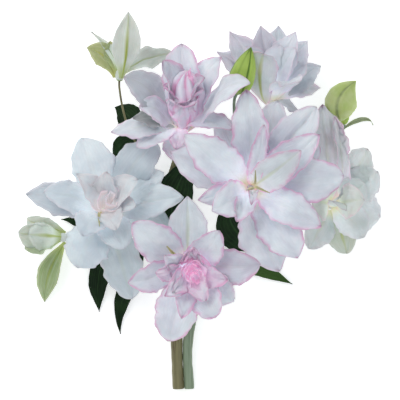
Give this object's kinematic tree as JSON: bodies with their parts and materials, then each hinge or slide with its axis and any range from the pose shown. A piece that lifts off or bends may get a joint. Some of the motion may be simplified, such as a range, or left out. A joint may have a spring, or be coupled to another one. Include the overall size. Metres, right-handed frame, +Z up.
{
  "type": "cut lily bunch",
  "caption": "Cut stems of double white lily with pink-edged tepals, buds and dark leaves, laid flat on a surface.",
  "frame": {"origin": "on the surface that the bunch lies on, under the middle of its bounding box", "axes": "+Z up from the surface, +Y from the cut stem ends towards the blooms, +X to the right as seen from above with the blooms away from the viewer"},
  "size_m": [0.3868, 0.402, 0.111],
  "materials": {
    "tepal_pink_edged": "soft satin petal, white with thin pink edges",
    "tepal_white": "soft satin petal, cool white",
    "tepal_cream": "soft satin petal, white with a cream and green throat",
    "tepal_greenish": "soft satin petal, pale green turning white",
    "bud_green": "smooth satin bud",
    "leaf": "satin dark green leaf",
    "stem_olive": "smooth olive stem with brown streaks",
    "stem_green": "smooth grey-green stem"
  },
  "bodies": {
    "root": {"centre_bloom_heart": "tepal_pink_edged", "centre_bloom_tepal_1": "tepal_pink_edged", "centre_bloom_tepal_2": "tepal_pink_edged", "centre_bloom_tepal_3": "tepal_pink_edged", "centre_bloom_tepal_4": "tepal_pink_edged", "centre_bloom_tepal_5": "tepal_pink_edged", "centre_bloom_tepal_6": "tepal_pink_edged", "front_bloom_heart": "tepal_pink_edged", "front_bloom_tepal_1": "tepal_pink_edged", "front_bloom_tepal_2": "tepal_pink_edged", "front_bloom_tepal_3": "tepal_pink_edged", "front_bloom_tepal_4": "tepal_pink_edged", "front_bloom_tepal_5": "tepal_pink_edged", "front_bloom_tepal_6": "tepal_pink_edged", "green_bud": "bud_green", "half_open_bud_heart": "tepal_greenish", "half_open_bud_tepal_1": "tepal_greenish", "half_open_bud_tepal_2": "tepal_greenish", "leaf_1": "leaf", "leaf_2": "leaf", "leaf_3": "leaf", "leaf_4": "leaf", "leaf_5": "leaf", "leaf_6": "leaf", "leaf_7": "leaf", "leaf_8": "leaf", "leaf_9": "leaf", "left_bloom_heart": "tepal_white", "left_bloom_tepal_1": "tepal_white", "left_bloom_tepal_2": "tepal_white", "left_bloom_tepal_3": "tepal_white", "left_bloom_tepal_4": "tepal_white", "left_bloom_tepal_5": "tepal_white", "left_bloom_tepal_6": "tepal_white", "opening_bud_heart": "tepal_greenish", "opening_bud_tepal_1": "tepal_greenish", "opening_bud_tepal_2": "tepal_greenish", "pale_bud_heart": "bud_green", "right_bloom_heart": "tepal_cream", "right_bloom_tepal_1": "tepal_cream", "right_bloom_tepal_2": "tepal_cream", "right_bloom_tepal_3": "tepal_cream", "right_bloom_tepal_4": "tepal_cream", "right_bloom_tepal_5": "tepal_cream", "stem_left": "stem_olive", "stem_right": "stem_green", "top_bloom_heart": "tepal_pink_edged", "top_bloom_tepal_1": "tepal_pink_edged", "top_bloom_tepal_2": "tepal_pink_edged", "top_bloom_tepal_3": "tepal_pink_edged", "top_bloom_tepal_4": "tepal_pink_edged", "top_bloom_tepal_5": "tepal_pink_edged", "top_bloom_tepal_6": "tepal_pink_edged", "upper_bloom_heart": "tepal_pink_edged", "upper_bloom_tepal_1": "tepal_pink_edged", "upper_bloom_tepal_2": "tepal_pink_edged", "upper_bloom_tepal_3": "tepal_pink_edged", "upper_bloom_tepal_4": "tepal_pink_edged", "upper_bloom_tepal_5": "tepal_pink_edged", "upper_bloom_tepal_6": "tepal_pink_edged"}
  },
  "joints": []
}
